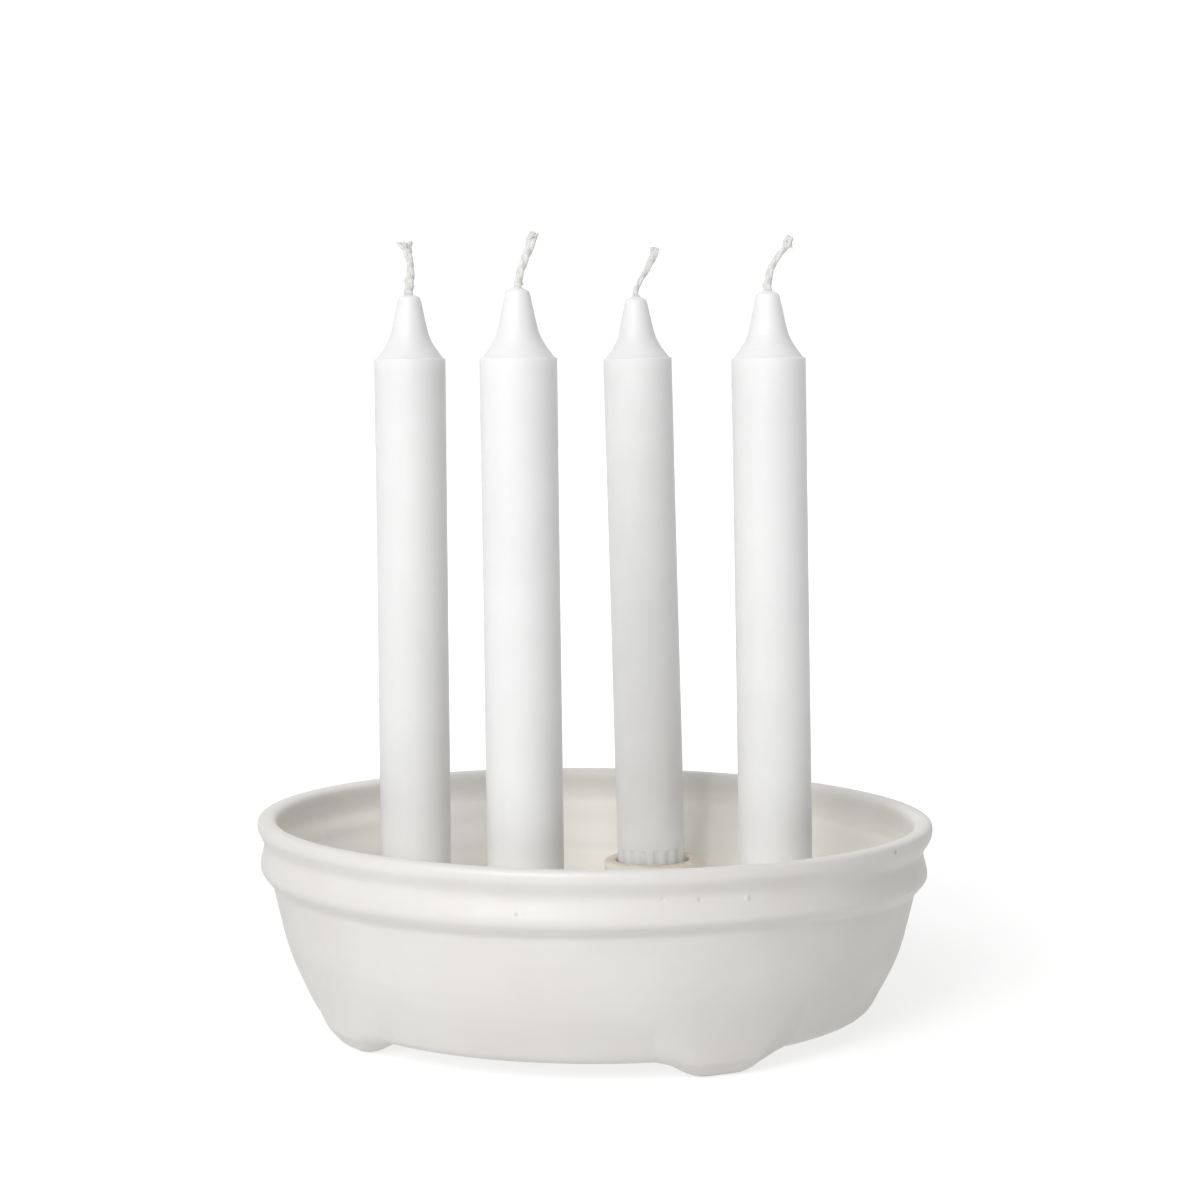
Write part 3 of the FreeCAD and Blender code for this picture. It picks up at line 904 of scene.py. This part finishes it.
def lug_distance(along, across, height, share):
    """Distance outside a pinched lug that widens upwards from its rounded sole."""
    outer = np.minimum(FOOT_EDGE + FOOT_SPLAY_OUT * height, FOOT_REACH)
    inner = FOOT_EDGE - FOOT_DEPTH * share - FOOT_SPLAY_IN * height
    half_depth = (outer - inner) / 2
    half_width = FOOT_HALF_WIDTH * share + FOOT_FLARE * height
    corner = np.minimum(half_depth, FOOT_CORNER + CORNER_GROWTH * height)
    over_along = np.abs(along - (outer + inner) / 2) - half_depth + corner
    over_across = np.abs(across) - half_width + corner
    beyond = np.hypot(np.maximum(over_along, 0), np.maximum(over_across, 0))
    level_distance = beyond + np.minimum(np.maximum(over_along, over_across), 0) - corner
    return -eased_lower(-SIDE_SLANT * level_distance, height, SOLE_ROUND)


def make_foot(number, glaze, settings):
    """One lug, with the skirt of clay that was smeared from it onto the bowl."""
    angle, share, set_in = FEET[number - 1]
    outline = turned_outline(BOWL_CORNERS, BOWL_STEP)
    wall = outline[: int(outline[:, 1].argmax())]
    # The part of the bowl that is near the foot, and the part of it that the skirt may cover
    wall = wall[(wall[:, 0] > 46.0) & (wall[:, 1] < 34.0)]
    covered = wall[(wall[:, 0] > 56.0) & (wall[:, 1] < 25.0)]
    fine = evenly_spaced(covered, FOOT_STEP)[0]
    steps = np.gradient(fine, axis=0)
    steps /= np.hypot(*steps.T)[:, None]
    down = np.column_stack([steps[:, 1], -steps[:, 0]]) + np.array([0.0, -0.8])
    down /= np.hypot(*down.T)[:, None]
    sweep = np.radians(np.linspace(-FOOT_SWEEP, FOOT_SWEEP, FOOT_COLUMNS))

    def place(reach):
        radius = fine[:, :1] + down[:, :1] * reach
        height = fine[:, 1:] + down[:, 1:] * reach
        return radius, np.broadcast_to(height, radius.shape)

    def outside(reach):
        radius, height = place(reach)
        bowl = wall_distance(radius, height, wall)
        lug = lug_distance(radius + set_in, radius * sweep, height, share)
        return eased_lower(bowl, lug, SMEAR_REACH)

    # Out along each ray to the first point in the open, then closer and closer to the skin.
    low = np.full((len(fine), len(sweep)), SEARCH_START)
    for _ in range(SEARCH_STEPS):
        low = np.where(outside(low + SEARCH_STEP) > 0, low, low + SEARCH_STEP)
    high = low + SEARCH_STEP
    for _ in range(HALVINGS):
        middle = (low + high) / 2
        out = outside(middle) > 0
        high = np.where(out, middle, high)
        low = np.where(out, low, middle)
    reach = (low + high) / 2
    # The skirt's edge is sunk into the bowl, so that it fades into it.
    sunk = reach - EDGE_SUNK * (1 - smooth_step(reach, 0.0, 0.5))
    radius, height = place(sunk)
    heading = sweep + math.radians(angle)
    points = [radius * np.cos(heading), radius * np.sin(heading), np.maximum(height, 0.0)]
    points = strayed(np.stack(points, axis=-1), settings.stray)
    shown = reach > LEAST_SMEAR
    index = np.arange(points.shape[0] * points.shape[1]).reshape(points.shape[:2])
    keep = shown[:-1, :-1] | shown[1:, :-1] | shown[:-1, 1:] | shown[1:, 1:]
    quads = np.stack([index[:-1, :-1], index[:-1, 1:], index[1:, 1:], index[1:, :-1]], axis=-1)
    quads = quads[keep]
    used = np.unique(quads)
    renumbered = np.searchsorted(used, quads).tolist()
    foot = new_piece(f"pinched_foot_{number}", points.reshape(-1, 3)[used], renumbered, glaze)
    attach(foot, "plate")
    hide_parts(f"foot_{number}")


# The cups


def make_cup(number, glaze):
    """A thrown cup, luted to the floor with a smear of clay round its foot."""
    outline = turned_outline(CUP_CORNERS, CUP_STEP)
    angles = circle(CUP_AROUND)
    way = CUP_STEP * np.arange(len(outline))[:, None]
    past_rim = np.arange(len(outline)) - int(outline[:, 1].argmax())
    rising = smooth_step(outline[:, 1:], 2.0, 24.0)
    on_outside = smooth_step(outline[:, :1], 13.0, 15.0)
    marks = CUP_MARK_DEPTH * np.sin(2 * math.pi * way / CUP_MARKS + angles + number) * on_outside
    oval = CUP_OVAL * rising * np.sin(2 * angles + 1.7 * number)
    radius = outline[:, :1] + marks + oval
    lean = CUP_TILT * rising * np.sin(angles + 2.3 * number)
    height = FLOOR_HEIGHT + outline[:, 1:] + lean
    heading = math.radians(CUP_ANGLES[number - 1])
    x = CUP_CIRCLE * math.cos(heading) + radius * np.cos(angles)
    y = CUP_CIRCLE * math.sin(heading) + radius * np.sin(angles)
    cup = turned_piece(f"candle_cup_{number}", np.stack([x, y, height], axis=-1), glaze)
    # Thin glaze on the cups, most in the bore and on the rim, also painted light
    bore = smooth_step(past_rim, -4, 4)
    rim = np.exp(-((past_rim + 1) / 4.5) ** 2)
    thin_and_painted_light = np.clip(0.6 + 0.4 * bore + 0.8 * rim, 0, 1)
    add_values(cup, "thin_glaze_and_painted_light", np.append(np.repeat(thin_and_painted_light, len(angles)), [1.0, 1.0]))
    add_values(cup, "worn_edge", np.append(np.repeat(0.85 * rim, len(angles)), [0.0, 0.0]))
    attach(cup, "plate")
    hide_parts(f"socket_{number}")


# The candles


def candle_frame(number):
    """Where a candle stands: its underside's middle, and the ways right, away and up along it."""
    joint = next(joint for joint in frame["joints"] if joint["child"] == f"candle_{number}")
    up = np.array(joint["axis"], float)
    up /= np.linalg.norm(up)
    points = np.array([vertex.co for vertex in frame["nodes"][f"wick_{number}"].data.vertices]) / MM
    level = points @ up
    underside = points[level < level.min() + 0.1]
    base = (underside.min(0) + underside.max(0)) / 2
    heading = math.radians(PHOTO_HEADING)
    away = np.array([-math.sin(heading), math.cos(heading), 0.0])
    right = np.cross(away, up)
    right /= np.linalg.norm(right)
    return base, right, np.cross(up, right), up


def flute_cut(angles, height, settings):
    """How deep the flutes are at each angle and height."""
    depth = settings.flute_depth / MM
    pitch = 2 * math.pi / settings.flutes
    turned = (angles + pitch / 2) % pitch - pitch / 2
    half_angle = FLUTE_SHARE * pitch
    scallop = np.clip(1 - (turned / half_angle) ** 2, 0, None)
    run_out = 1 - smooth_step(height, 0.55 * FLUTE_LENGTH, FLUTE_LENGTH)
    stop = 1 - smooth_step(height, 0.96 * FLUTE_LENGTH, FLUTE_LENGTH)
    return depth * (FLUTE_TOP + (1 - FLUTE_TOP) * run_out) * scallop * stop


def candle_rows(number):
    """The candle's outline, with more points where its shape changes."""
    collar = WAX_COLLARS[number - 1]
    climb = ((1.35, CANDLE_LENGTH + 0.5 * collar, 0.5), (1.0, CANDLE_LENGTH + collar, 0.0))
    points = rounded_outline(CANDLE_CORNERS + climb)
    filled = [points[0]]
    for before, after in zip(points, points[1:]):
        length = math.hypot(*(after - before))
        changing = after[1] < FLUTE_LENGTH + 1 or after[1] > SHOULDER_HEIGHT
        if length < 1e-6:
            continue
        count = max(1, math.ceil(length / (FINE_STEP if changing else PLAIN_STEP)))
        filled += [before + (after - before) * step / count for step in range(1, count + 1)]
    return np.array(filled)[1:]


def make_candle(number, wax, settings):
    """A crown candle: fluted tapered base, plain shaft, sharp shoulder and flared crown."""
    outline = candle_rows(number)
    angles = circle(CANDLE_AROUND)
    height = outline[:, 1:]
    on_side = smooth_step(outline[:, :1], 8.0, 10.2)
    radius = outline[:, :1] - flute_cut(angles, height, settings) * on_side
    on_crown = smooth_step(height, SHOULDER_HEIGHT + 0.6, SHOULDER_HEIGHT + 2.0)
    rings = np.sin(2 * math.pi * height / RING_PITCH)
    rings = rings + 0.6 * np.sin(2 * math.pi * height / SLOW_RING_PITCH + number)
    radius = radius + on_crown * rings * settings.ring_depth / MM
    tip = smooth_step(height, CANDLE_LENGTH - 1.0, CANDLE_LENGTH + 0.2)
    creases = 0.6 * np.sin(11 * angles + number) + 0.4 * np.sin(17 * angles)
    uneven = 0.03 * np.sin(3 * angles + number) + TIP_CREASES[number - 1] * creases
    radius = radius * (1 + tip * uneven)
    base, right, away, up = candle_frame(number)
    spun = angles + 0.7 * number
    rows = base + height[..., None] * up
    rows = rows + (radius * np.cos(spun))[..., None] * right
    rows = rows + (radius * np.sin(spun))[..., None] * away
    candle = turned_piece(f"crown_candle_{number}", rows, wax)
    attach(candle, f"candle_{number}")
    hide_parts(f"candle_{number}")


# The wicks


def wick_line(number):
    """The wick's line from the candle's underside to its end, read from one smooth spline."""
    base, right, _, up = candle_frame(number)
    route = [(0.0, 0.0), (0.0, CANDLE_LENGTH - 13.0)]
    route += [(aside, CANDLE_LENGTH + above) for aside, above in WICK_TAILS[number - 1]]
    curve = bpy.data.curves.new(f"wick_route_{number}", "CURVE")
    curve.dimensions = "3D"
    curve.resolution_u = 24
    spline = curve.splines.new("NURBS")
    spline.points.add(len(route) - 1)
    for point, (aside, along) in zip(spline.points, route):
        point.co = (*((base + aside * right + along * up) * MM), 1.0)
    spline.order_u = 3
    spline.use_endpoint_u = True
    carrier = bpy.data.objects.new(f"wick_route_{number}", curve)
    mesh = bpy.data.meshes.new_from_object(carrier)
    line = np.array([vertex.co for vertex in mesh.vertices]) / MM
    bpy.data.objects.remove(carrier)
    bpy.data.curves.remove(curve)
    bpy.data.meshes.remove(mesh)
    return line


def fibre(start, heading, length, thickness, bend):
    """One loose cotton fibre, curling as it tapers."""
    way = np.linspace(0.0, length, 6)[:, None]
    centres = start + way * heading + (way / length) ** 2 * bend
    taper = thickness * np.linspace(1, 0.3, 6)
    return tube(centres, np.cross(heading, bend + 0.01), taper, taper, 4)


def plies(number, free, half_wide, half_deep, settings):
    """Where each of the plait's three plies runs: aside, in depth, and half its width and depth."""
    end = smooth_step(free, free[-1] - 6.5, free[-1] + 0.5)
    turn = 2 * math.pi * free / (settings.lay / MM * WICK_LAYS[number - 1])
    for ply, split in enumerate(WICK_SPLITS[number - 1]):
        phase = turn + 2 * math.pi * ply / 3
        wide = PLY_SHARE * half_wide * (1 - 0.15 * end)
        deep = PLY_SHARE * half_deep * (1 - 0.1 * end)
        aside = (half_wide - wide) * np.sin(phase) + split * end
        in_depth = (half_deep - deep) * np.sin(2 * phase)
        yield aside, in_depth, wide, deep, ply


def make_wick(number, cotton, settings):
    """Three plies of cotton yarn, plaited flat, with a frayed end and a few loose tufts."""
    chance = np.random.default_rng(number)
    line, way = evenly_spaced(wick_line(number), PLAIT_STEP)
    right, away, up = candle_frame(number)[1:]
    free = way - CANDLE_LENGTH
    widths = np.array(WICK_WIDTHS[number - 1])

    in_wax = np.append(np.arange(0, int((free < 0.5).sum()), 30), int((free < 1.0).sum()))
    buried = line[in_wax]
    # The wick's end shows in the underside.
    buried[0] -= 0.1 * up
    parts = []
    depths = []

    # Each part's depth runs from 0, deep in the plait, to 1 outside, and sets its painted shade.
    def add(part, depth):
        parts.append(part)
        depths.append(np.broadcast_to(depth, len(part[0])))

    add(tube(buried, away, *BURIED_SIZE, 14), 0.6)

    shown = free > -PLAIT_START
    path, free = line[shown], free[shown]
    half_wide = np.interp(free, widths[:, 0], widths[:, 1])
    half_deep = np.interp(free, widths[:, 0], widths[:, 2])
    along = np.gradient(path, axis=0)
    along /= np.linalg.norm(along, axis=1)[:, None]
    side = np.cross(along, away)
    side *= np.sign(side @ right)[:, None]
    end = smooth_step(free, free[-1] - 3.5, free[-1] + 0.3)
    heart = len(path) - 14
    wide, deep = HEART_SHARE * half_wide[:heart], HEART_SHARE * half_deep[:heart]
    add(tube(path[:heart], away, wide, deep, 12), 0.5)
    ends = []
    for aside, in_depth, wide, deep, ply in plies(number, free, half_wide, half_deep, settings):
        centre = path + side * aside[:, None] + away * in_depth[:, None]
        stop = len(centre) - int(chance.integers(1, 4))
        add(tube(centre[:stop], away, wide[:stop] * 0.85, deep[:stop] * 0.85, 10), 0.6)
        # Real yarns are finer. These are as coarse as they need to be to show.
        for yarn in range(settings.yarns):
            angle = 2 * math.pi * (yarn / settings.yarns) + 2 * math.pi * (free / YARN_TURN) + ply
            thick = np.clip(YARN_SHARE * wide, *YARN_SIZES)
            drift = end[:, None] * chance.normal(0, 0.13, 3)
            round_side = (wide - thick) * np.cos(angle) * (1 + 0.2 * end)
            round_deep = (deep - 0.8 * thick) * np.sin(angle) * (1 + 0.2 * end)
            fuzz = 0.025 * np.sin(free * 2.7 + 1.9 * yarn + ply)
            centres = centre + side * (round_side + fuzz)[:, None]
            centres = centres + away * round_deep[:, None] + drift
            stop = len(centres) - int(chance.integers(0, 5))
            taper = 1 - 0.25 * end
            part = tube(centres[:stop], away, (thick * taper)[:stop], (0.85 * thick * taper)[:stop])
            outer = np.hypot((aside + round_side) / half_wide, (in_depth + round_deep) / half_deep)
            add(part, np.append(np.repeat(smooth_step(outer[:stop], 0.2, 0.75), 8), [0.6, 0.6]))
            ends.append((centres[stop - 1], along[stop - 1], side[stop - 1] * round_side[stop - 1]))

    for index in range(WICK_ENDS[number - 1]):
        start, heading, offset = ends[index % len(ends)]
        spread_out = heading + 0.8 * offset + chance.normal(0, 0.22, 3)
        spread_out /= np.linalg.norm(spread_out)
        bend = chance.normal(0, 0.2, 3)
        start = start - 0.4 * heading + chance.normal(0, 0.08, 3)
        add(fibre(start, spread_out, chance.uniform(*FIBRE_LENGTHS), END_FIBRE, bend), 1.0)
    for height, towards, fibres in WICK_TUFTS[number - 1]:
        nearest = int(np.abs(free - height).argmin())
        for _ in range(fibres):
            start = path[nearest] + side[nearest] * towards * (half_wide[nearest] - 0.3)
            start = start + chance.normal(0, 0.2, 3)
            heading = side[nearest] * towards + along[nearest] * chance.uniform(-0.6, 0.9)
            heading = heading + chance.normal(0, 0.35, 3)
            heading /= np.linalg.norm(heading)
            bend = chance.normal(0, 0.35, 3)
            add(fibre(start, heading, chance.uniform(*FIBRE_LENGTHS), TUFT_FIBRE, bend), 1.0)

    points, faces = joined(parts)
    wick = new_piece(f"braided_wick_{number}", points, faces, cotton)
    add_values(wick, "strand_depth_for_painted_shade", np.concatenate(depths))
    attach(wick, f"candle_{number}")
    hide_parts(f"wick_{number}")


# The stage


def way_out(heading, elevation):
    """The way out from the plate at a heading from the photographed view and at an elevation."""
    turn = math.radians(PHOTO_HEADING + heading)
    rise = math.radians(elevation)
    level = math.cos(rise)
    return Vector((math.sin(turn) * level, -math.cos(turn) * level, math.sin(rise)))


def soft_light(name, heading, elevation, power):
    """A square soft light at a heading from the photographed view, facing the plate."""
    light = bpy.data.lights.new(name, "AREA")
    light.shape = "SQUARE"
    light.size = LAMP_SIZE
    light.energy = power
    lamp = bpy.data.objects.new(name, light)
    towards = way_out(heading, elevation)
    lamp.location = Vector((0.0, 0.0, LAMP_AIM)) + LAMP_DISTANCE * towards
    lamp.rotation_euler = (-towards).to_track_quat("-Z", "Y").to_euler()
    bpy.context.scene.collection.objects.link(lamp)


def set_surround(share):
    """White surroundings that fill the shades. The camera sees them as plain white."""
    world = bpy.data.worlds.new("White studio")
    bpy.context.scene.world = world
    world.use_nodes = True
    tree = world.node_tree
    tree.nodes.clear()
    direction = add_node(tree, "TexCoord", output="Generated")
    level = 0.0
    for heading, elevation, strength in SURROUNDINGS:
        ways = {0: direction, 1: way_out(heading, elevation)}
        towards = add_node(tree, "VectorMath", ways, "Value", operation="DOT_PRODUCT")
        patch = add_node(tree, "MapRange", {0: towards, 4: strength * share})
        level = add_node(tree, "Math", {0: patch, 1: level}, operation="ADD")
    seen = add_node(tree, "LightPath", output="Is Camera Ray")
    level = add_node(tree, "Mix", {0: seen, 2: level, 3: SEEN_WHITE})
    white = add_node(tree, "Background", {"Color": linear("#FFFFFF"), "Strength": level})
    add_node(tree, "OutputWorld", {"Surface": white})


def make_floor(settings):
    """A round board that reaches well out of the view."""
    radii = np.array(FLOOR_RINGS)[:, None]
    angles = circle(FLOOR_AROUND)
    level = np.zeros((len(FLOOR_RINGS), FLOOR_AROUND))
    rows = np.stack([radii * np.cos(angles), radii * np.sin(angles), level], axis=-1)
    index = np.arange(level.size).reshape(level.shape)
    beside = np.roll(index, -1, axis=1)
    faces = np.stack([index[:-1], index[1:], beside[1:], beside[:-1]], axis=-1)
    faces = faces.reshape(-1, 4).tolist()
    faces.append(index[0].tolist())
    floor = new_piece("floor", rows.reshape(-1, 3), faces, pale_floor(settings))


def set_camera(settings):
    """The camera at the photograph's place, angle and lens."""
    camera = bpy.data.cameras.new("photo_view")
    camera.sensor_width = SENSOR_WIDTH
    camera.lens = settings.lens
    view = bpy.data.objects.new("photo_view", camera)
    view.location = (*CAMERA_PLACE, settings.camera_height)
    view.rotation_euler = (math.radians(90.0 + CAMERA_TILT), 0.0, math.radians(PHOTO_HEADING))
    bpy.context.scene.collection.objects.link(view)
    bpy.context.scene.camera = view


# Operators and panel


def material_once(name, make, settings):
    """The material of this name, made the first time that a piece asks for it."""
    return bpy.data.materials.get(name) or make(settings)


def shared_glaze(context):
    """The glaze's settings, and the one glaze of the bowl, its feet and its cups."""
    settings = context.scene.plate_glaze
    return settings, material_once(GLAZE, glazed_stoneware, settings)


class CANDLEPLATE_OT_bowl(Operator):
    """Throw the bowl: wavering wall, rolled lip, ridge and finger marks"""

    bl_idname = "candle_plate.bowl"
    bl_label = "Bowl"

    def execute(self, context):
        settings, glaze = shared_glaze(context)
        make_bowl(glaze, settings)
        return {"FINISHED"}


class CANDLEPLATE_OT_feet(Operator):
    """Pinch the four feet and smear them onto the bowl"""

    bl_idname = "candle_plate.feet"
    bl_label = "Feet"

    def execute(self, context):
        settings, glaze = shared_glaze(context)
        for number in NUMBERS:
            make_foot(number, glaze, settings)
        return {"FINISHED"}


class CANDLEPLATE_OT_cups(Operator):
    """Throw the four candle cups and lute them to the floor"""

    bl_idname = "candle_plate.cups"
    bl_label = "Candle cups"

    def execute(self, context):
        glaze = shared_glaze(context)[1]
        for number in NUMBERS:
            make_cup(number, glaze)
        return {"FINISHED"}


class CANDLEPLATE_OT_candles(Operator):
    """Cast the four crown candles"""

    bl_idname = "candle_plate.candles"
    bl_label = "Candles"

    def execute(self, context):
        settings = context.scene.plate_candles
        wax = material_once("Stearin wax", cast_wax, settings)
        for number in NUMBERS:
            make_candle(number, wax, settings)
        return {"FINISHED"}


class CANDLEPLATE_OT_wicks(Operator):
    """Braid the four wicks and fray their ends"""

    bl_idname = "candle_plate.wicks"
    bl_label = "Wicks"

    def execute(self, context):
        settings = context.scene.plate_wicks
        cotton = material_once("Braided bleached cotton", braided_cotton, settings)
        for number in NUMBERS:
            make_wick(number, cotton, settings)
        return {"FINISHED"}


class CANDLEPLATE_OT_stage(Operator):
    """Set up the pale floor, the soft lights and the camera"""

    bl_idname = "candle_plate.stage"
    bl_label = "Stage"

    def execute(self, context):
        settings = context.scene.plate_stage
        context.scene.view_settings.view_transform = "Standard"
        set_camera(settings)
        set_surround(settings.surroundings)
        make_floor(settings)
        for name, heading, elevation, share in LAMPS:
            soft_light(name, heading, elevation, settings.key_power * share)
        return {"FINISHED"}


class CANDLEPLATE_PT_panel(Panel):
    """The pieces of the candle plate, in the order in which they are made"""

    bl_idname = "CANDLEPLATE_PT_panel"
    bl_label = "Candle plate"
    bl_space_type = "VIEW_3D"
    bl_region_type = "UI"
    bl_category = "Candle plate"

    def draw(self, context):
        for settings in SETTINGS:
            group = getattr(context.scene, settings)
            box = self.layout.box()
            for name in group.bl_rna.properties.keys():
                if name not in ("rna_type", "name"):
                    box.prop(group, name)
        for operator in OPERATORS:
            self.layout.operator(operator.bl_idname)


OPERATORS = (
    CANDLEPLATE_OT_stage,
    CANDLEPLATE_OT_bowl,
    CANDLEPLATE_OT_feet,
    CANDLEPLATE_OT_cups,
    CANDLEPLATE_OT_candles,
    CANDLEPLATE_OT_wicks,
)
SETTINGS = {
    "plate_glaze": GlazeSettings,
    "plate_candles": CandleSettings,
    "plate_wicks": WickSettings,
    "plate_stage": StageSettings,
}


def register():
    for group in SETTINGS.values():
        bpy.utils.register_class(group)
    for name, group in SETTINGS.items():
        setattr(bpy.types.Scene, name, PointerProperty(type=group))
    for item in OPERATORS + (CANDLEPLATE_PT_panel,):
        bpy.utils.register_class(item)


def unregister():
    for item in reversed(OPERATORS + (CANDLEPLATE_PT_panel,)):
        bpy.utils.unregister_class(item)
    for name, group in SETTINGS.items():
        delattr(bpy.types.Scene, name)
        bpy.utils.unregister_class(group)


def corners(bounds):
    """A box as plain lists of numbers."""
    return [[float(value) for value in corner] for corner in bounds]


def main():
    register()
    bpy.ops.candle_plate.stage()
    bpy.ops.candle_plate.bowl()
    bpy.ops.candle_plate.feet()
    bpy.ops.candle_plate.cups()
    bpy.ops.candle_plate.candles()
    bpy.ops.candle_plate.wicks()


if __name__ == "__main__":
    main()
